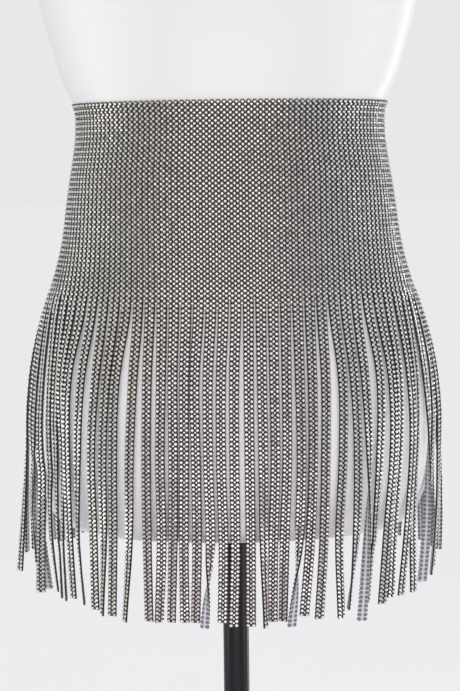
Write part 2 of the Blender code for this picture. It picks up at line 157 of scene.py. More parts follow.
# Horizontal sections of the form, from the cut bottom up to the neck
Section = namedtuple("Section", "height half_width front back")
FORM_SECTIONS = (
    Section(0.7240, 0.1320, 0.1070, 0.1080),
    Section(0.7270, 0.1370, 0.1105, 0.1120),
    Section(0.7450, 0.1490, 0.1140, 0.1180),
    Section(0.7700, 0.1568, 0.1150, 0.1210),
    Section(0.8000, 0.1590, 0.1130, 0.1210),
    Section(0.8300, 0.1568, 0.1080, 0.1170),
    Section(0.8600, 0.1525, 0.1010, 0.1100),
    Section(0.8935, 0.1450, 0.0930, 0.1010),
    Section(0.9125, 0.1385, 0.0895, 0.0960),
    Section(0.9315, 0.1330, 0.0870, 0.0920),
    Section(0.9500, 0.1293, 0.0850, 0.0890),
    Section(0.9690, 0.1268, 0.0835, 0.0865),
    Section(0.9880, 0.1240, 0.0820, 0.0845),
    Section(1.0070, 0.1208, 0.0805, 0.0830),
    Section(1.0280, 0.1183, 0.0795, 0.0820),
    Section(1.0460, 0.1195, 0.0800, 0.0820),
    Section(1.0570, 0.1245, 0.0810, 0.0822),
    Section(1.0710, 0.1305, 0.0828, 0.0830),
    Section(1.0910, 0.1364, 0.0860, 0.0850),
    Section(1.1110, 0.1420, 0.0910, 0.0880),
    Section(1.1310, 0.1465, 0.0970, 0.0920),
    Section(1.1800, 0.1530, 0.1080, 0.1000),
    Section(1.2300, 0.1580, 0.1150, 0.1050),
    Section(1.2800, 0.1620, 0.1080, 0.1060),
    Section(1.3300, 0.1650, 0.0930, 0.1020),
    Section(1.3700, 0.1570, 0.0780, 0.0920),
    Section(1.4000, 0.1310, 0.0690, 0.0820),
    Section(1.4180, 0.0980, 0.0620, 0.0730),
    Section(1.4320, 0.0710, 0.0560, 0.0650),
    Section(1.4500, 0.0590, 0.0530, 0.0590),
    Section(1.4850, 0.0560, 0.0530, 0.0560),
    Section(1.4900, 0.0530, 0.0500, 0.0530),
)

# How each strip in view hangs, in order from the centre front to the side.
# quarter, half, late, end: shift to the right in view at each quarter of the length, mm.
# lift: how far the end stands out from the form, mm. turn: twist at the end, degrees.
# turn_from: the part of the length where the twist begins. drop: extra length, mm.
Hang = namedtuple("Hang", "quarter half late end lift turn turn_from drop")
RIGHT_HANGS = (
    Hang(-2.0, -2.5, -2.5, -4.5, 1.0, 0, 0.5, 1.0),
    Hang(-0.5, -0.5, -0.5, -1.0, 1.0, 12, 0.4, 2.0),
    Hang(0.0, 0.0, -0.5, 0.5, 5.0, -60, 0.40, 1.5),
    Hang(0.0, 0.0, -2.3, -3.5, 1.0, 20, 0.70, -1.5),
    Hang(0.0, -0.5, -3.2, -5.3, 1.0, 35, 0.60, -2.0),
    Hang(0.5, 0.0, -3.5, -10.0, 6.0, 165, 0.58, 2.5),
    Hang(1.0, 0.5, -2.5, -8.0, 2.0, 12, 0.5, -4.5),
    Hang(2.0, 1.0, -1.0, -5.0, 1.0, 0, 0.5, -3.0),
    Hang(5.5, 4.5, 1.0, 2.0, 2.0, -20, 0.5, -3.0),
    Hang(5.0, 6.0, 3.5, -3.5, 4.0, -75, 0.62, -6.5),
    Hang(4.0, 4.5, 1.0, -4.5, 6.0, -160, 0.30, 2.0),
    Hang(6.5, 5.0, 0.0, -5.0, 1.0, -50, 0.35, -11.5),
    Hang(6.0, 5.0, -0.5, -5.5, 3.0, 12, 0.5, -6.5),
    Hang(3.5, 1.5, -3.0, -6.0, 1.0, 0, 0.5, -10.5),
    Hang(3.0, 2.0, -3.0, -9.5, 4.0, 0, 0.5, -12.0),
    Hang(1.0, -1.5, -4.5, -4.5, 1.0, 5, 0.5, -11.0),
    Hang(1.0, 0.0, -3.0, -8.5, 5.0, -130, 0.30, -18.0),
    Hang(2.0, 0.0, -3.0, -7.0, 1.0, -24, 0.30, -16.0),
    Hang(1.5, 0.0, -2.5, -7.5, 3.0, -20, 0.40, -16.5),
    Hang(2.5, 1.5, -1.0, -5.0, 1.0, 10, 0.50, -21.0),
)
LEFT_HANGS = (
    Hang(-2.5, -3.0, -2.0, -3.5, 1.0, 0, 0.5, -0.5),
    Hang(-3.0, -3.0, -2.0, -7.0, 4.0, -160, 0.68, 2.0),
    Hang(-3.5, -3.0, -3.0, -5.0, 1.0, 8, 0.5, -1.0),
    Hang(-2.0, -2.5, -3.5, -3.5, 1.0, 0, 0.5, -2.0),
    Hang(-1.5, -1.5, -2.5, -4.5, 1.0, 15, 0.6, -3.0),
    Hang(-1.0, -2.0, -1.2, -3.5, 2.5, -35, 0.60, -1.0),
    Hang(-2.5, -3.5, -3.5, -3.0, 1.0, 10, 0.5, -1.5),
    Hang(-4.0, -6.5, -7.0, -11.0, 3.0, 45, 0.45, -2.0),
    Hang(-8.0, -10.0, -10.5, -12.0, 1.0, 0, 0.5, -4.5),
    Hang(-6.0, -8.5, -8.0, -10.0, 2.0, 45, 0.50, -4.0),
    Hang(-5.0, -8.0, -7.0, -6.5, 1.0, 0, 0.5, -8.5),
    Hang(-6.5, -8.5, -8.5, -4.5, 2.0, 55, 0.35, -10.0),
    Hang(-7.5, -8.0, -7.0, -4.5, 1.0, 12, 0.5, -13.5),
    Hang(-4.5, -2.0, -2.5, -0.5, 2.0, 48, 0.30, -11.5),
    Hang(-1.0, 0.0, 1.5, 3.5, 1.0, 42, 0.30, -10.5),
    Hang(1.5, 3.5, 3.0, 9.0, 2.0, 32, 0.55, -13.5),
    Hang(2.5, 5.5, 5.5, 5.0, 6.0, -50, 0.20, -10.5),
    Hang(1.5, 3.5, 4.0, 11.0, 1.0, 130, 0.40, -10.5),
    Hang(2.0, 4.0, 1.5, 4.0, 1.0, 15, 0.50, -30.0),
    Hang(-1.5, -0.5, -3.0, -7.0, 3.0, -35, 0.40, -20.0),
)

# Strips out of view follow a fixed pseudo-random pattern within these sizes.
HIDDEN_SWAYS = (0.8, 1.5, 1.6, 2.4)
HIDDEN_LIFTS = (0.5, 4.0)
HIDDEN_TURNS = (0, 0, 12, -15, 40, -35)
HIDDEN_TURN_FROM = 0.55
HIDDEN_DROPS = (-33.0, -28.0)
HIDDEN_SEED = 1000

# Below the form a strip may swing in under it by this much
SWING_ROOM = 0.020

# How many levels between a place on a strip and its root are read for the widest section
HANG_LEVELS = 24

# Rows of points on the torso: from and to a height, and how many
FORM_ROWS = ((FORM_BOTTOM, 0.745, 8), (0.752, 1.40, 92), (1.405, 1.485, 17), (1.4865, NECK_TOP, 3))

# The crystals' tint changes across this width
TINT_WIDTH = 0.26

# Finish of the cloth, mm: pitch of the net's threads and of the tape's ribs, half the pitch of the
# cups' backs across and along, and the squares of the radii where a cup's back fades out
THREAD_PITCH = 0.45
RIB_PITCH = 0.7
CUP_BACKS = (2.05, 1.65)
CUP_BACK_EDGE = (2.4, 1.2)

# Floor, and its painted shade: it turns greyer under the lights, nearer than these distances from a point
# in front of the stand
FLOOR_RADIUS = 60.0
FLOOR_SIDES = 96
NEAR_FLOOR_Y = -1.6
NEAR_FLOOR = (4.4, 1.4)

# Area lights turned to one point, and an even sky
Light = namedtuple("Light", "name place size power")
LIGHTS = (
    Light("key", (-0.3, -2.6, 1.6), (2.4, 1.8), 16.5),
    Light("low", (0.2, -2.4, 0.45), (2.2, 0.8), 11.5),
    Light("left", (-2.4, -0.5, 0.6), (1.2, 1.2), 9.0),
    Light("right", (2.4, -0.5, 0.6), (1.2, 1.2), 7.5),
    Light("rim", (1.6, 1.2, 0.8), (0.3, 1.6), 8.0),
)
LIT_POINT = (0.0, 0.0, 0.9)
SKY_COLOUR = (0.985, 0.985, 1.0)
SKY_POWER = 0.82

# Camera, read against the photograph: metres, degrees and mm
EYE = (0.0, -1.5, 0.997)
TILT_DOWN = 5.20
TURN_LEFT = 0.078
ROLL = -0.71
LENS = 99.8
FILM = 36.0


# The form's shape

SECTION_HEIGHTS = np.array([row.height for row in FORM_SECTIONS])
SECTION_SIZES = np.array([row[1:] for row in FORM_SECTIONS])
SECTION_SLOPES = np.gradient(SECTION_SIZES, SECTION_HEIGHTS, axis=0)


def smooth_step(value):
    value = np.clip(value, 0.0, 1.0)
    return value * value * (3.0 - 2.0 * value)


def smooth_curve(values, slopes, below, span, u):
    """A place on the curve between one of the values and the next; u is its part of the span."""
    keep = 2 * u**3 - 3 * u**2 + 1
    bend = (u**3 - 2 * u**2 + u) * slopes[below] + (u**3 - u**2) * slopes[below + 1]
    return keep * values[below] + (1 - keep) * values[below + 1] + span * bend


def form_section(height):
    """The form's half width, front depth and back depth at a height."""
    last = len(SECTION_HEIGHTS) - 2
    below = int(np.clip(np.searchsorted(SECTION_HEIGHTS, height) - 1, 0, last))
    span = SECTION_HEIGHTS[below + 1] - SECTION_HEIGHTS[below]
    u = min(max((height - SECTION_HEIGHTS[below]) / span, 0.0), 1.0)
    return smooth_curve(SECTION_SIZES, SECTION_SLOPES, below, span, u)


def hanging_section(height):
    """The section that a strip hangs clear of: the widest of the form between it and its root."""
    levels = np.linspace(height, STRAND_ROOT, HANG_LEVELS)
    return np.max([form_section(level) for level in levels], axis=0)


class Outline:
    """One horizontal outline, read by its share of the way from centre front to centre back."""

    FRONT_ZONE = 0.15
    SIDE_ZONE = 0.45
    FRONT_SHARES = (0.72, 1.05)
    POINTS = 241

    def __init__(self, section, out):
        half_width, front, back = section
        angle = np.linspace(0.0, math.pi, self.POINTS)
        power = 2.0 / SECTION_POWER
        x = half_width * np.abs(np.sin(angle)) ** power
        depth = np.where(np.cos(angle) > 0, front, back)
        y = -depth * np.sign(np.cos(angle)) * np.abs(np.cos(angle)) ** power
        along = np.gradient(np.stack([x, y]), axis=1)
        along /= np.linalg.norm(along, axis=0)
        along[:, 0] = (1.0, 0.0)
        along[:, -1] = (-1.0, 0.0)
        self.bare = self.arc_of(x, y)[-1]
        self.x = x + out * along[1]
        self.y = y - out * along[0]
        self.x[[0, -1]] = 0.0
        self.arc = self.arc_of(self.x, self.y)
        self.along = along

    @staticmethod
    def arc_of(x, y):
        steps = np.hypot(np.diff(x), np.diff(y))
        return np.concatenate([[0.0], np.cumsum(steps)])

    def share(self, turn):
        """The share of the arc at a column: even pitch in front, and the rest spread over the sides."""
        front_share = np.clip(HALF_STRIPS * FRONT_PITCH / self.bare, *self.FRONT_SHARES)
        zone = self.SIDE_ZONE - self.FRONT_ZONE
        u = np.clip((turn - self.FRONT_ZONE) / zone, 0.0, 1.0)
        eased = zone * (u**3 - u**4 / 2) + max(turn - self.SIDE_ZONE, 0.0)
        whole = zone / 2 + 1.0 - self.SIDE_ZONE
        return front_share * turn + (1.0 - front_share) * eased / whole

    def place(self, turn, slide=0.0):
        """(point, direction along, direction out) at a turn: 0 is centre front, 1 and -1 centre back."""
        if abs(turn) > 1.0:
            turn -= math.copysign(2.0, turn)
        side = -1.0 if turn < 0 else 1.0
        at = self.share(abs(turn)) * self.arc[-1] + side * slide
        if at < 0:
            side, at = -side, -at
        if at > self.arc[-1]:
            side, at = -side, 2 * self.arc[-1] - at
        x, y, run_x, run_y = (np.interp(at, self.arc, row) for row in (self.x, self.y, *self.along))
        run = np.array([run_x, side * run_y])
        run /= np.linalg.norm(run)
        return np.array([side * x, y]), run, np.array([run[1], -run[0]])


def belt_turn(steps):
    """The turn of a place on the belt, counted in strips from the middle of the belt."""
    return (steps + BELT_PHASE) / HALF_STRIPS


@lru_cache(maxsize=None)
def form_outline(height, out):
    return Outline(form_section(height), out)


def wrap_place(steps, height, out):
    """(point, direction across, direction facing out) on a layer that lies on the form."""
    rise = 0.001
    turn = belt_turn(steps)
    point, along, _ = form_outline(height, out).place(turn)
    above, _, _ = form_outline(height + rise, out).place(turn)
    below, _, _ = form_outline(height - rise, out).place(turn)
    across = np.array([*along, 0.0])
    facing = np.cross(across, [*(above - below), 2 * rise])
    return np.array([*point, height]), across, facing / np.linalg.norm(facing)


def back_steps(height, inset):
    """How many strips from the belt's middle lie at a distance from its seam at the back."""
    outline = form_outline(height, FORM_GAP)
    pitch = outline.arc[-1] * (1.0 - outline.share(1.0 - 1.0 / HALF_STRIPS))
    return HALF_STRIPS - inset / pitch


# The strips' shape


def row_heights():
    """Heights of the rows of large stones, from the top edge to below the longest strip."""
    heights = [BELT_TOP - LARGE_CUP]
    while heights[-1] > FRINGE_BOTTOM - ROWS_BEYOND:
        pitch = np.interp(BELT_TOP - heights[-1], ROW_DEPTHS, ROW_PITCHES)
        heights.append(heights[-1] - pitch)
    return heights


def strand_hang(number):
    """How a strip hangs, by its number: 0 and up go right from the centre front, -1 and down left."""
    index = number if number >= 0 else -number - 1
    seen = RIGHT_HANGS if number >= 0 else LEFT_HANGS
    if index < len(seen):
        return seen[index]
    draw = np.random.RandomState(HIDDEN_SEED + number)
    return Hang(
        *(draw.uniform(-sway, sway) for sway in HIDDEN_SWAYS),
        draw.uniform(*HIDDEN_LIFTS),
        draw.choice(HIDDEN_TURNS),
        HIDDEN_TURN_FROM,
        draw.uniform(*HIDDEN_DROPS),
    )


def shift_in_view(hang, u):
    """The shift to the right in view at a part of the length, in metres."""
    shifts = np.array([0.0, *hang[:4]]) / 1000
    slopes = np.gradient(shifts, 0.25)
    slopes[0] = 0.0
    below = min(int(u * 4), 3)
    return smooth_curve(shifts, slopes, below, 0.25, u * 4 - below)


def strand_length(number):
    return STRAND_ROOT - FRINGE_BOTTOM + strand_hang(number).drop / 1000


def strand_place(number, u):
    """(point, direction across) of a strip at a part of its length."""
    hang = strand_hang(number)
    turn = belt_turn(number + 0.5)
    height = STRAND_ROOT - strand_length(number) * u
    angle = math.radians(hang.turn) * smooth_step((u - hang.turn_from) / (1 - hang.turn_from))
    beside_form = height > FORM_BOTTOM - STRIP_WIDTH
    half_depth = CLOTH_WALL / 2 * abs(math.cos(angle)) + STRIP_WIDTH / 2 * abs(math.sin(angle))
    stand_out = hang.lift / 1000 * smooth_step(u)
    if beside_form:
        stand_out = max(stand_out, half_depth - CLOTH_WALL / 2)
    clear = FORM_GAP + STRAND_ROOM + CLOTH_WALL / 2
    outline = Outline(hanging_section(height), clear + stand_out)
    _, along, outward = outline.place(turn)
    shift = shift_in_view(hang, u)
    point, along, outward = outline.place(turn, shift * along[0])
    swing = shift * outward[0]
    if swing < 0:
        room = SWING_ROOM
        if beside_form:
            bare, _, _ = Outline(form_section(height), FORM_GAP + half_depth).place(turn)
            room = max(np.dot(point - bare, outward), 0.0)
        swing = max(swing, -room)
    point = point + outward * swing
    across = along * math.cos(angle) + outward * math.sin(angle)
    return np.array([*point, height]), np.array([*across, 0.0])


class Strand:
    """One strip of the fringe, read at any part of its length; last_row is its lowest row of stones."""

    def __init__(self, number, rows):
        self.length = strand_length(number)
        lowest = STRAND_ROOT - self.length + END_ROOM
        self.last_row = min(height for height in rows if height >= lowest)
        self.shares = np.linspace(0.0, 1.0, STRAND_STATIONS)
        places = [strand_place(number, u) for u in self.shares]
        self.points, self.across = (np.array(table) for table in zip(*places))
        rise = -np.gradient(self.points, axis=0)
        facing = np.cross(self.across, rise)
        self.facing = facing / np.linalg.norm(facing, axis=1)[:, None]

    def at(self, u):
        """(middle of the wall, direction across, direction facing out) at a part of the length."""
        point, across, facing = (
            np.array([np.interp(u, self.shares, table[:, axis]) for axis in range(3)])
            for table in (self.points, self.across, self.facing)
        )
        across /= np.linalg.norm(across)
        facing -= across * np.dot(facing, across)
        return point, across, facing / np.linalg.norm(facing)


# Materials


def maths(operation, swapped=False):
    """A method that joins a Value with a number or a second Value by a Math node."""

    def method(self, other=0.0):
        pair = (other, self) if swapped else (self, other)
        return self.finish.add("Math", {"operation": operation}, dict(enumerate(pair)))

    return method


class Value:
    """An output of a material's node. fold rises to the number given and falls back, over and over."""

    __add__ = __radd__ = maths("ADD")
    __sub__ = maths("SUBTRACT")
    __rsub__ = maths("SUBTRACT", swapped=True)
    __mul__ = __rmul__ = maths("MULTIPLY")
    __truediv__ = maths("DIVIDE")
    __pow__ = maths("POWER")
    __abs__ = maths("ABSOLUTE")
    or_more = maths("MAXIMUM")
    fold = maths("PINGPONG")

    def __init__(self, finish, socket):
        self.finish = finish
        self.socket = socket


class Finish:
    """A material built from nodes round one Principled shader."""

    def __init__(self, name, fixed):
        self.material = bpy.data.materials.new(name)
        self.material.use_nodes = True
        self.tree = self.material.node_tree
        self.shader = self.tree.nodes["Principled BSDF"]
        for key, value in fixed.items():
            self.drive(key, value)
        self.place = self.add("TexCoord", {}, {}, "Object")

    def add(self, kind, settings, inputs, output=0):
        """Adds a node: its settings first, then a number or a Value for each named input."""
        node = self.tree.nodes.new("ShaderNode" + kind)
        stops = settings.pop("stops", None)
        for key, value in settings.items():
            setattr(node, key, value)
        if stops:
            self.set_ramp(node.color_ramp, stops)
        for key, value in inputs.items():
            self.feed(node.inputs[key], value)
        return Value(self, node.outputs[output])

    @staticmethod
    def set_ramp(ramp, stops):
        while len(ramp.elements) < len(stops):
            ramp.elements.new(0.5)
        for element, (position, colour) in zip(ramp.elements, stops):
            element.position = position
            element.color = (*colour, 1.0)

    def feed(self, socket, value):
        if isinstance(value, Value):
            self.tree.links.new(value.socket, socket)
        else:
            socket.default_value = value

    def drive(self, name, value):
        """Feeds one of the shader's inputs."""
        self.feed(self.shader.inputs[name], value)

    def split(self, vector):
        """The x, y and z of a place."""
        node = self.add("SeparateXYZ", {}, {"Vector": vector}).socket.node
        return [Value(self, output) for output in node.outputs]

    def on_cloth(self):
        """The places across and along the cloth, from the piece's own UV map in millimetres."""
        across, along, _ = self.split(self.add("UVMap", {"uv_map": "thread"}, {}, "UV"))
        return across, along

    def noise(self, scale, detail=2.0, where=None):
        inputs = {"Vector": where or self.place, "Scale": scale, "Detail": detail}
        return self.add("TexNoise", {}, inputs, "Fac")

    def attribute(self, name):
        return self.add("Attribute", {"attribute_name": name}, {}, "Fac")

    def mix(self, share, first, second, blend="MIX"):
        """A colour between two, each a colour or a Value."""
        settings = {"data_type": "RGBA", "blend_type": blend}
        first, second = (c if isinstance(c, Value) else (*c, 1.0) for c in (first, second))
        return self.add("Mix", settings, {0: share, 6: first, 7: second}, 2)

    def colour(self, share, first, second, blend="MIX"):
        self.drive("Base Color", self.mix(share, first, second, blend))

    def ramp(self, value, *stops):
        return self.add("ValToRGB", {"stops": stops}, {"Fac": value}, "Color")

    def step(self, value, low, high):
        """0 below low, 1 above high, and smooth between."""
        settings = {"interpolation_type": "SMOOTHSTEP"}
        return self.add("MapRange", settings, {"Value": value, "From Min": low, "From Max": high})

    def bump(self, height, distance, strength=1.0):
        inputs = {"Height": height, "Distance": distance, "Strength": strength}
        self.drive("Normal", self.add("Bump", {}, inputs, "Normal"))


def crystal_finish(name, dim, bright):
    """Foil-backed glass with painted shade on its upper facets and a painted highlight on each flat top,
    and a random brightness for each stone, under a faint tint.
    """
    fixed = {"Roughness": 0.18, "Metallic": 0.55, "Coat Weight": 0.5, "Coat Roughness": 0.05}
    finish = Finish(name, fixed)
    x, _, z = finish.split(finish.place)
    drift = finish.noise(11.0) - 0.5
    spark = finish.attribute("spark")
    across = finish.ramp(
        0.5 + x / TINT_WIDTH + drift * 0.5,
        (0.00, (0.98, 1.00, 0.95)),
        (0.30, (1.00, 0.93, 0.84)),
        (0.55, (1.00, 0.90, 0.86)),
        (0.75, (0.99, 0.98, 0.99)),
        (1.00, (1.00, 0.99, 0.98)),
    )
    low = finish.step(z + drift * 0.06, 0.90, 0.84)
    middle = finish.step(abs(x) + drift * 0.1, 0.10, 0.05)
    rosy = finish.mix(low * middle, across, (1.00, 0.92, 0.95))
    own = finish.ramp(
        spark,
        (0.0, (1.00, 0.95, 0.98)),
        (0.5, (1.00, 1.00, 1.00)),
        (1.0, (1.00, 1.00, 0.95)),
    )
    tint = finish.mix(1.0, rosy, own, "MULTIPLY")
    # Painted shade and highlight of the facets, mixed with each stone's random brightness
    level = finish.attribute("facet") * 0.6 + spark * 0.4
    grey = finish.mix(level, (dim, dim, dim), (bright, bright, bright))
    finish.colour(1.0, grey, tint, "MULTIPLY")
    return finish.material


def cup_finish():
    """Blackened metal cups, a little worn."""
    finish = Finish("cup_black", {"Specular IOR Level": 0.25})
    wear = finish.noise(900.0)
    finish.colour(wear, (0.004, 0.004, 0.005), (0.016, 0.016, 0.018))
    finish.drive("Roughness", 0.4 + wear * 0.2)
    return finish.material


def net_finish(name, dark, light):
    """Fine net: threads across and along."""
    finish = Finish(name, {"Roughness": 0.6})
    half = THREAD_PITCH / 2
    warp, weft = (side.fold(half) / half for side in finish.on_cloth())
    weave = warp.or_more(weft)
    finish.colour(weave * 0.8 + finish.noise(300.0) * 0.2, dark, light)
    finish.bump(weave, 0.0001, 0.8)
    return finish.material


def back_finish():
    """The net's wrong side: the backs of the cups show as two columns of grey dots on a strip."""
    finish = Finish("net_back", {"Roughness": 0.55})
    beside, above = (half - side.fold(half) for side, half in zip(finish.on_cloth(), CUP_BACKS))
    dot = finish.step(beside * beside + above * above, *CUP_BACK_EDGE)
    speckle = finish.noise(900.0, 3.0)
    ground = finish.mix(speckle, (0.30, 0.30, 0.32), (0.62, 0.62, 0.64))
    metal = finish.mix(speckle, (0.05, 0.05, 0.065), (0.20, 0.195, 0.24))
    finish.colour(dot, ground, metal)
    finish.bump(dot, 0.0002, 0.8)
    return finish.material


def form_finish():
    """Smooth moulded white plastic with faint smudges, and painted light: much lighter low down beside the
    middle, where the fringe shades it, and a little lighter towards the sides above.
    """
    finish = Finish("form_white", {"Coat Weight": 0.15, "Coat Roughness": 0.25})
    smudge = finish.noise(7.0, 4.0)
    x, _, z = finish.split(finish.place)
    # Painted light and shade: lighter towards the sides above; low down, much lighter beside the middle to
    # undo the fringe's shade, with a pinkish painted shade in the middle where the strips hang close
    # together
    beside = finish.step(abs(x), 0.04, 0.10)
    low = finish.step(z + (smudge - 0.5) * 0.1, 0.93, 0.83)
    above = finish.mix(beside, (0.63, 0.63, 0.63), (0.67, 0.67, 0.67))
    below = finish.mix(beside, (0.66, 0.63, 0.64), (0.99, 0.98, 0.98))
    painted_light_tone = finish.mix(low, above, below)
    finish.colour(smudge * 0.1, painted_light_tone, (0.70, 0.70, 0.70))
    finish.drive("Roughness", 0.36 + smudge * 0.14)
    finish.bump(finish.noise(420.0, 3.0), 0.00002, 0.5)
    return finish.material


def pole_finish():
    """Satin black powder coat."""
    fixed = {"Coat Weight": 0.2, "Coat Roughness": 0.10, "Specular IOR Level": 0.1}
    finish = Finish("pole_black", fixed)
    patch = finish.noise(18.0, 3.0)
    finish.colour(patch, (0.004, 0.004, 0.006), (0.009, 0.008, 0.012))
    finish.drive("Roughness", 0.24 + patch * 0.12)
    finish.bump(finish.noise(1400.0, 3.0), 0.00003, 0.5)
    return finish.material


def binding_finish():
    """Ribbed black tape."""
    finish = Finish("binding_black", {"Roughness": 0.75})
    _, along = finish.on_cloth()
    ribs = along.fold(RIB_PITCH / 2) / (RIB_PITCH / 2)
    light = ribs * 0.7 + finish.noise(2500.0) * 0.3
    finish.colour(light, (0.008, 0.008, 0.009), (0.035, 0.034, 0.036))
    finish.bump(ribs, 0.00012)
    return finish.material


def hook_finish():
    """Brushed steel."""
    finish = Finish("hook_steel", {"Metallic": 1.0})
    stretched = finish.add("Mapping", {}, {"Vector": finish.place, "Scale": (60.0, 1500.0, 1500.0)})
    brush = finish.noise(1.0, 4.0, stretched)
    finish.colour(brush, (0.42, 0.42, 0.44), (0.62, 0.62, 0.63))
    finish.drive("Roughness", 0.22 + brush * 0.2)
    finish.bump(brush, 0.00002, 0.5)
    return finish.material


def floor_finish():
    """Pale floor with painted shade: a little greyer under the lights, so that it looks evenly bright."""
    fixed = {"Roughness": 0.9, "Emission Color": (1.0, 1.0, 1.0, 1.0), "Emission Strength": 0.11}
    finish = Finish("floor_pale", fixed)
    x, y, _ = finish.split(finish.place)
    forward = y - NEAR_FLOOR_Y
    # Painted shade where the lights fall most, round a point in front of the stand
    painted_floor_shade = finish.step((x * x + forward * forward) ** 0.5, *NEAR_FLOOR)
    far = finish.mix(finish.noise(2.0, 3.0), (0.86, 0.86, 0.87), (0.88, 0.88, 0.885))
    finish.colour(painted_floor_shade, far, (0.75, 0.75, 0.755))
    return finish.material


# Pieces


def new_piece(name, points, faces, *materials, smooth_below=None):
    """A piece at the origin, smooth where its faces meet at less than smooth_below degrees."""
    mesh = bpy.data.meshes.new(name)
    mesh.from_pydata([tuple(map(float, point)) for point in points], [], faces)
    mesh.validate()
    if smooth_below is not None:
        mesh.shade_smooth()
        mesh.set_sharp_from_angle(angle=math.radians(smooth_below))
    for material in materials:
        mesh.materials.append(material)
    piece = bpy.data.objects.new(name, mesh)
    bpy.context.scene.collection.objects.link(piece)
    return piece


def loft(rings):
    """Points and faces of a closed solid through rings of equal length, listed from the bottom up."""
    count = len(rings[0])
    points = [point for ring in rings for point in ring]
    faces = []
    for level in range(len(rings) - 1):
        for k in range(count):
            a = level * count + k
            b = level * count + (k + 1) % count
            faces.append((a, b, b + count, a + count))
    faces.append(tuple(range(count))[::-1])
    faces.append(tuple(range(len(points) - count, len(points))))
    return points, faces


def make_form(finish):
    """The torso, smooth from its cut bottom to its neck."""
    rings = []
    for height in np.concatenate([np.linspace(*span) for span in FORM_ROWS]):
        outline = form_outline(height, 0.0)
        places = [outline.place(belt_turn(k / 2))[0] for k in range(-STRIPS + 1, STRIPS + 1)]
        rings.append([(x, y, height) for x, y in places])
    return new_piece("form_torso", *loft(rings), finish, smooth_below=50)


def circle(radius, height, sides):
    angles = np.arange(sides) * 2 * math.pi / sides
    return [(radius * math.cos(a), radius * math.sin(a), height) for a in angles]


def turned(name, profile, sides, finish):
    """A turned piece through (radius, height) pairs, from the bottom up."""
    rings = [circle(radius, height, sides) for radius, height in profile]
    return new_piece(name, *loft(rings), finish, smooth_below=30)


def rounded(corner, radius, start, steps=5):
    """Points of a quarter round in a profile; start is its first angle in degrees."""
    points = []
    for k in range(steps + 1):
        angle = math.radians(start + 90.0 * k / steps)
        points.append((corner[0] + radius * math.cos(angle), corner[1] + radius * math.sin(angle)))
    return points


def make_stand(finish):
    foot = BASE_THICKNESS + SEAM_GAP
    hub_top = foot + HUB_HEIGHT
    top = FORM_BOTTOM - SEAM_GAP
    collar_foot = top - COLLAR_HEIGHT
    flange = FLANGE_CHAMFER
    pole_profile = [
        (HUB_RADIUS, foot),
        *rounded((HUB_RADIUS - flange, hub_top - flange), flange, 0.0),
        (POLE_RADIUS + POLE_FILLET, hub_top),
        (POLE_RADIUS, hub_top + POLE_FILLET),
        (POLE_RADIUS, collar_foot - POLE_FILLET),
        (POLE_RADIUS + POLE_FILLET, collar_foot),
        *rounded((COLLAR_RADIUS - flange, collar_foot + flange), flange, -90.0),
        (COLLAR_RADIUS, top),
    ]
    edge = BASE_CHAMFER
    base_profile = [
        *rounded((BASE_RADIUS - edge, edge), edge, -90.0),
        *rounded((BASE_RADIUS - edge, BASE_THICKNESS - edge), edge, 0.0),
    ]
    pole = turned("stand_pole", pole_profile, POLE_SIDES, finish)
    return pole, turned("stand_base", base_profile, BASE_SIDES, finish)


def wall_piece(name, columns, front, back):
    """A thin wall through columns of (inner point, outer point, place on the cloth in mm)."""
    rows = len(columns[0])
    points = [point for column in columns for place in column for point in place[:2]]

    def inner(column, row):
        return (column * rows + row) * 2

    def outer(column, row):
        return inner(column, row) + 1

    faces = []
    finishes = []
    last = len(columns) - 1
    top = rows - 1
    for c in range(last):
        for r in range(top):
            faces.append((outer(c, r), outer(c + 1, r), outer(c + 1, r + 1), outer(c, r + 1)))
            faces.append((inner(c + 1, r), inner(c, r), inner(c, r + 1), inner(c + 1, r + 1)))
            finishes += [0, 1]
        faces.append((inner(c, 0), inner(c + 1, 0), outer(c + 1, 0), outer(c, 0)))
        faces.append((outer(c, top), outer(c + 1, top), inner(c + 1, top), inner(c, top)))
        finishes += [0, 0]
    for r in range(top):
        faces.append((inner(0, r), outer(0, r), outer(0, r + 1), inner(0, r + 1)))
        faces.append((outer(last, r), inner(last, r), inner(last, r + 1), outer(last, r + 1)))
        finishes += [0, 0]
    piece = new_piece(name, points, faces, front, back, smooth_below=40)
    piece.data.polygons.foreach_set("material_index", finishes)
    layer = piece.data.uv_layers.new(name="thread")
    flat = [place[2] for column in columns for place in column for _ in range(2)]
    corners = [loop.vertex_index for loop in piece.data.loops]
    layer.data.foreach_set("uv", [value for corner in corners for value in flat[corner]])
    return piece


def wrapped_wall(steps, height, start, wall, across):
    """One place of a wall that lies on the form, for wall_piece."""
    inner, outer = (wrap_place(steps, height, out)[0] for out in (start, start + wall))
    return inner, outer, (across * 1000, height * 1000)


def wrapped_net(name, heights, front, back):
    """Net that lies on the form, from one side of the opening at the back round to the other."""
    columns = []
    for k in range(2 * STRIPS + 1):
        column = []
        for height in heights:
            end = back_steps(height, BACK_OPENING / 2)
            steps = -end + 2 * end * k / (2 * STRIPS)
            column.append(wrapped_wall(steps, height, FORM_GAP, NET_WALL, steps * FRONT_PITCH))
        columns.append(column)
    return wall_piece(name, columns, front, back)


def make_band_net(front, back):
    heights = np.linspace(BAND_BOTTOM, BELT_TOP - LARGE_CUP, BAND_NET_ROWS)
    return wrapped_net("belt_net", heights, front, back)


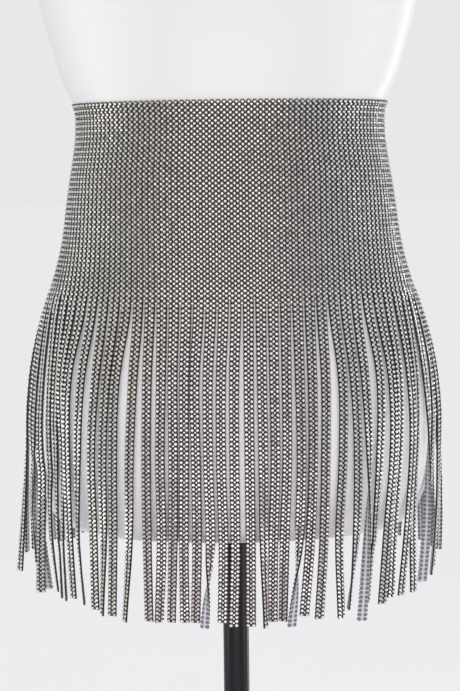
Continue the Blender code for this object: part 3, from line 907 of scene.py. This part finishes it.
def make_fringe_net(strands, front, back):
    """The narrow uncut strip of net and every free strip below it, joined into one piece."""
    heights = (STRAND_ROOT, (STRAND_ROOT + FRINGE_TOP) / 2, FRINGE_TOP)
    root = wrapped_net("fringe_net", heights, front, back)
    parts = [root]
    for strand in strands:
        columns = [[], [], []]
        end = (STRAND_ROOT - strand.last_row + END_ROOM) / strand.length
        for u in np.linspace(end, 0.0, STRIP_NET_ROWS):
            point, across, facing = strand.at(u)
            base = point - facing * CLOTH_WALL / 2
            half_width = np.interp(u, (0.0, CLOSE_BY), NET_HALF_WIDTHS)
            for column, side in zip(columns, (-1, 0, 1)):
                inner = base + across * side * half_width
                place = (side * half_width * 1000, point[2] * 1000)
                column.append((inner, inner + facing * NET_WALL, place))
        parts.append(wall_piece("strip", columns, front, back))
    with bpy.context.temp_override(active_object=root, selected_editable_objects=parts):
        bpy.ops.object.join()
    return root


# Stones


def stone_template(name):
    """A cup and a cut stone as one closed shape; faces carry whether they are cup, and their painted
    shade: darker slanted facets above, and a painted highlight on the flat top.
    """
    kind = STONES[name]
    sides = kind.sides
    cup, rim, stone, table, edge, top, seat = (size / 1000 for size in kind[1:8])
    corners = np.arange(sides) * 2 * math.pi / sides
    rings = [(cup, 0.0, 0.0), (rim, 0.0, edge), (stone, seat, edge)]
    if not rim:
        rings.pop(1)
    points = [(r * math.cos(a), off + r * math.sin(a), h) for r, off, h in rings for a in corners]
    table_turn = math.pi / 4 if sides == 8 else 0.0
    for k in range(4):
        a = table_turn + k * math.pi / 2
        points.append((table * math.cos(a), seat + table * math.sin(a), top))
    faces = [tuple(range(sides - 1, -1, -1))]
    for ring in range(len(rings) - 1):
        for k in range(sides):
            here = ring * sides + k
            after = ring * sides + (k + 1) % sides
            faces.append((here, after, sides + after, sides + here))
    cup_faces = len(faces)
    first = len(rings) * sides
    girdle = first - sides
    for k in range(4):
        after = first + (k + 1) % 4
        if sides == 8:
            middle = girdle + 2 * k + 1
            beyond = girdle + (2 * k + 2) % 8
            faces.append((middle - 1, middle, first + k))
            faces.append((middle, beyond, first + k))
            faces.append((first + k, beyond, after))
        else:
            faces.append((girdle + k, girdle + (k + 1) % 4, after, first + k))
    faces.append(tuple(range(first, first + 4)))
    # Painted shade on the slanted facets, and a painted highlight at full brightness on the flat top
    crown = [level * kind.crown for level in PAINTED_FACET_SHADES[sides]]
    template = new_piece(name, points, faces)
    marks = template.data.attributes.new("cup", "BOOLEAN", "FACE")
    marks.data.foreach_set("value", [face < cup_faces for face in range(len(faces))])
    levels = template.data.attributes.new("facet", "FLOAT", "FACE")
    levels.data.foreach_set("value", [0.0] * cup_faces + crown + [1.0])
    return template


class Tree:
    """A Geometry Nodes tree built from short calls."""

    def __init__(self, name, **inputs):
        self.tree = bpy.data.node_groups.new(name, "GeometryNodeTree")
        self.tree.interface.new_socket("Geometry", in_out="OUTPUT", socket_type="NodeSocketGeometry")
        self.sockets = {}
        for key, kind in {"Geometry": "Geometry", **inputs}.items():
            made = self.tree.interface.new_socket(key, in_out="INPUT", socket_type="NodeSocket" + kind)
            self.sockets[key] = made.identifier
        self.source = self.tree.nodes.new("NodeGroupInput")

    def given(self, name):
        return self.source.outputs[name]

    def add(self, kind, settings, inputs, output=0):
        """Adds a node: its settings first, then a number or an output for each named input."""
        node = self.tree.nodes.new(kind)
        for key, value in settings.items():
            setattr(node, key, value)
        for key, value in inputs.items():
            if isinstance(value, bpy.types.NodeSocket):
                self.tree.links.new(value, node.inputs[key])
            else:
                node.inputs[key].default_value = value
        return node.outputs[output]

    def named(self, name, kind):
        settings = {"data_type": kind}
        return self.add("GeometryNodeInputNamedAttribute", settings, {"Name": name}, "Attribute")

    def finish(self, geometry):
        end = self.tree.nodes.new("NodeGroupOutput")
        self.tree.links.new(geometry, end.inputs[0])
        return self


def stone_tree():
    """Sets a stone on every point, turned to the net, with a slight tilt and a brightness of its own."""
    made = Tree(
        "set_stones", Stone="Object", Tilt="Float", Seed="Int", Crystal="Material", Cup="Material"
    )
    stone = made.add("GeometryNodeObjectInfo", {}, {"Object": made.given("Stone")}, "Geometry")
    axes = {"primary_axis": "Z", "secondary_axis": "X"}
    facing = made.named("facing", "FLOAT_VECTOR")
    across = made.named("across", "FLOAT_VECTOR")
    seat = made.add("FunctionNodeAxesToRotation", axes, {0: facing, 1: across})
    limits = {"Seed": made.given("Seed")}
    for key, way in (("Min", -1), ("Max", 1)):
        inputs = {0: (way, way, way), "Scale": made.given("Tilt")}
        limits[key] = made.add("ShaderNodeVectorMath", {"operation": "SCALE"}, inputs)
    tilt = made.add("FunctionNodeRandomValue", {"data_type": "FLOAT_VECTOR"}, limits, 0)
    nudge = made.add("FunctionNodeEulerToRotation", {}, {0: tilt})
    slanted = made.add("FunctionNodeRotateRotation", {"rotation_space": "LOCAL"}, {0: seat, 1: nudge})
    size = made.named("size", "FLOAT")
    inputs = {"Points": made.given("Geometry"), "Instance": stone, "Rotation": slanted, "Scale": size}
    placed = made.add("GeometryNodeInstanceOnPoints", {}, inputs)
    seed = {"Seed": made.given("Seed")}
    spark = made.add("FunctionNodeRandomValue", {"data_type": "FLOAT"}, seed, 1)
    inputs = {"Geometry": placed, "Name": "spark", "Value": spark}
    settings = {"data_type": "FLOAT", "domain": "INSTANCE"}
    marked = made.add("GeometryNodeStoreNamedAttribute", settings, inputs)
    real = made.add("GeometryNodeRealizeInstances", {}, {0: marked})
    bright = made.add("GeometryNodeSetMaterial", {}, {"Geometry": real, "Material": made.given("Crystal")})
    is_cup = made.named("cup", "BOOLEAN")
    inputs = {"Geometry": bright, "Selection": is_cup, "Material": made.given("Cup")}
    return made.finish(made.add("GeometryNodeSetMaterial", {}, inputs))


def set_stones(name, places, tree, **inputs):
    """One piece of stones from (point, across, facing, size) places, made by the tree as a plain mesh."""
    points, across, facing, sizes = zip(*places)
    piece = new_piece(name, points, [])
    for key, vectors in (("across", across), ("facing", facing)):
        layer = piece.data.attributes.new(key, "FLOAT_VECTOR", "POINT")
        layer.data.foreach_set("vector", np.ravel(vectors))
    layer = piece.data.attributes.new("size", "FLOAT", "POINT")
    layer.data.foreach_set("value", sizes)
    modifier = piece.modifiers.new("stones", "NODES")
    modifier.node_group = tree.tree
    for key, value in inputs.items():
        modifier[tree.sockets[key]] = value
    graph = bpy.context.evaluated_depsgraph_get()
    mesh = bpy.data.meshes.new_from_object(piece.evaluated_get(graph), depsgraph=graph)
    piece.modifiers.clear()
    piece.data = mesh
    mesh.name = name
    return piece


def stone_on_form(steps, height, out=FORM_GAP + NET_WALL):
    return (*wrap_place(steps, height, out), 1.0)


def band_stones(rows, offset):
    """Places on the band: offset is the first column's distance from the middle, in strips."""
    count = int((HALF_STRIPS - BESIDE_SEAM - offset) * 2) + 1
    right = [offset + k / 2 for k in range(count)]
    steps = [-step for step in reversed(right) if step > 0] + right
    return [stone_on_form(step, row) for row in rows if row >= BAND_BOTTOM for step in steps]


def strand_stones(strands, rows, sides):
    """Places on every strip: sides are the columns on each side of its middle line."""
    places = []
    lift = NET_WALL - CLOTH_WALL / 2
    for strand in strands:
        for height in rows:
            u = (STRAND_ROOT - height) / strand.length
            if u < 0 or height < strand.last_row:
                continue
            point, across, facing = strand.at(u)
            offset = np.interp(u, (0.0, CLOSE_BY), COLUMN_OFFSETS)
            size = np.interp(u, (0.0, CLOSE_BY), FRINGE_SMALL_SIZES) if sides == (0,) else 1.0
            for side in sides:
                places.append((point + across * side * offset + facing * lift, across, facing, size))
    return places


def root_stones(rows, parts):
    """Places on the uncut strip below the band, at parts of each strip's pitch; none is on the seam."""
    steps = [number + part for number in STRIP_NUMBERS for part in parts if number + part > -HALF_STRIPS]
    root_rows = [row for row in rows if STRAND_ROOT < row < BAND_BOTTOM]
    return [stone_on_form(step, row) for row in root_rows for step in steps]


def last_joined(rows):
    """Small stones that still join two strips a little below their roots, a few rows at random."""
    draw = np.random.RandomState(JOINED_SEED)
    out = FORM_GAP + STRAND_ROOM + NET_WALL
    places = []
    for number in STRIP_NUMBERS[1:]:
        lowest = STRAND_ROOT - draw.uniform(*JOINED_LENGTHS)
        places += [stone_on_form(number, row, out) for row in rows if lowest < row < STRAND_ROOT]
    return places


def make_stones(strands, rows, crystal_large, crystal_small, cup):
    tree = stone_tree()
    templates = {name: stone_template(name) for name in STONES}
    between = [(a + b) / 2 for a, b in zip(rows[:-1], rows[1:])]
    on_fringe = root_stones(rows, (0.25, 0.75)) + strand_stones(strands, rows, (-1, 1))
    among = root_stones(between, (0.0, 0.5)) + last_joined(between)
    among += strand_stones(strands, between, (0,))
    kinds = (
        ("band_large", band_stones(rows, 0.25), crystal_large),
        ("fringe_large", on_fringe, crystal_large),
        ("band_small", band_stones(between, 0.0), crystal_small),
        ("fringe_small", among, crystal_small),
    )
    pieces = {}
    for index, (name, places, crystal) in enumerate(kinds):
        shares = math.ceil(len(places) / STONES[name].most)
        size = math.ceil(len(places) / shares)
        for share in range(shares):
            full_name = f"stones_{name}_{share + 1}"
            pieces[full_name] = set_stones(
                full_name,
                places[share * size : (share + 1) * size],
                tree,
                Stone=templates[name],
                Tilt=math.radians(STONE_TILT),
                Seed=10 * index + share,
                Crystal=crystal,
                Cup=cup,
            )
    for template in templates.values():
        bpy.data.objects.remove(template)
    return pieces


# Centre back fastening


def make_bindings(finish):
    """Tape folded over each cut end of the band."""
    heights = np.linspace(BAND_BOTTOM, BELT_TOP, TAPE_ROWS)
    start = FORM_GAP + CLOTH_WALL + SEAM_GAP
    last = len(TAPE_RIDGE) - 1
    made = []
    for side, name in ((-1, "binding_left"), (1, "binding_right")):
        columns = []
        for k, rise in enumerate(TAPE_RIDGE):
            wall = BAR_WALL * (TAPE_EDGE + (1 - TAPE_EDGE) * rise)
            inset = BACK_OPENING / 2 + BAR_WIDTH * (1 - k / last if side > 0 else k / last)
            column = []
            for height in heights:
                steps = side * back_steps(height, inset)
                column.append(wrapped_wall(steps, height, start, wall, inset))
            columns.append(column)
        made.append(wall_piece(name, columns, finish, finish))
    return made


def make_hooks(finish):
    """Plain plates with soft corners, which follow the slope of the back."""
    start = FORM_GAP + CLOTH_WALL + BAR_WALL + 2 * SEAM_GAP
    half = HOOK_HEIGHT / 2
    made = []
    for number, drop in enumerate(HOOK_DROPS, 1):
        middle = BELT_TOP - drop
        (x, y), _, _ = form_outline(middle, start).place(belt_turn(HALF_STRIPS))
        slope = (form_section(middle + half)[2] - form_section(middle - half)[2]) / HOOK_HEIGHT
        rings = []
        for out, inset in ((0.0, 0.0), (HOOK_WALL * HOOK_SIDE, 0.0), (HOOK_WALL, HOOK_BEVEL)):
            radius = HOOK_CORNER - inset
            ring = []
            for quarter, (cx, cz) in enumerate(((1, 1), (-1, 1), (-1, -1), (1, -1))):
                for step in range(CORNER_STEPS + 1):
                    angle = math.pi / 2 * (quarter + step / CORNER_STEPS)
                    dx = cx * (HOOK_WIDTH / 2 - HOOK_CORNER) + radius * math.cos(angle)
                    dz = cz * (half - HOOK_CORNER) + radius * math.sin(angle)
                    ring.append((x - dx, y + out + dz * slope, middle + dz))
            rings.append(ring)
        made.append(new_piece(f"hook_plate_{number}", *loft(rings), finish, smooth_below=30))
    return made


# Stage, lights and camera


def make_floor(finish):
    ring = circle(FLOOR_RADIUS, 0.0, FLOOR_SIDES)
    floor = new_piece("floor", ring, [tuple(range(FLOOR_SIDES))], finish)


def add_light(row):
    light = bpy.data.lights.new(row.name, "AREA")
    light.shape = "RECTANGLE"
    light.size, light.size_y = row.size
    light.energy = row.power
    made = bpy.data.objects.new(row.name, light)
    bpy.context.scene.collection.objects.link(made)
    made.location = row.place
    made.rotation_mode = "QUATERNION"
    made.rotation_quaternion = (Vector(LIT_POINT) - Vector(row.place)).to_track_quat("-Z", "Y")


def make_sky():
    world = bpy.data.worlds.new("studio")
    world.use_nodes = True
    background = world.node_tree.nodes["Background"]
    background.inputs["Color"].default_value = (*SKY_COLOUR, 1.0)
    background.inputs["Strength"].default_value = SKY_POWER
    bpy.context.scene.world = world


def make_camera():
    camera = bpy.data.cameras.new("camera")
    camera.lens = LENS
    camera.sensor_fit = "VERTICAL"
    camera.sensor_height = FILM
    made = bpy.data.objects.new("camera", camera)
    bpy.context.scene.collection.objects.link(made)
    made.location = EYE
    aim = Euler((math.radians(90.0 - TILT_DOWN), 0.0, math.radians(TURN_LEFT))).to_matrix()
    roll = Matrix.Rotation(math.radians(ROLL), 3, "Z")
    made.rotation_euler = (aim @ roll).to_euler()
    bpy.context.scene.camera = made


def dress(piece, node):
    """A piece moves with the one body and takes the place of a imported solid."""
    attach(piece, "root")
    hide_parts(node)


def main():
    bpy.context.scene.view_settings.view_transform = "Standard"
    net_front = net_finish("net_black", (0.006, 0.006, 0.007), (0.03, 0.03, 0.032))
    net_back = back_finish()
    crystal_large = crystal_finish("crystal_large", 0.36, 0.66)
    crystal_small = crystal_finish("crystal_small", 0.32, 0.68)
    cup = cup_finish()

    dress(make_form(form_finish()), "dress_form")
    pole, base = make_stand(pole_finish())
    dress(pole, "pole")
    dress(base, "base_plate")

    rows = row_heights()
    strands = [Strand(number, rows) for number in STRIP_NUMBERS]
    band = make_band_net(net_front, net_back)
    fringe = make_fringe_net(strands, net_front, net_back)
    stones = make_stones(strands, rows, crystal_large, crystal_small, cup)
    dress(band, "belt_band")
    dress(fringe, "belt_fringe")
    for piece in stones.values():
        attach(piece, "root")

    for piece, node in zip(make_bindings(binding_finish()), ("back_bar_left", "back_bar_right")):
        dress(piece, node)
    for number, piece in enumerate(make_hooks(hook_finish()), 1):
        dress(piece, f"back_hook_{number}")

    make_floor(floor_finish())
    make_sky()
    for row in LIGHTS:
        add_light(row)
    make_camera()


main()
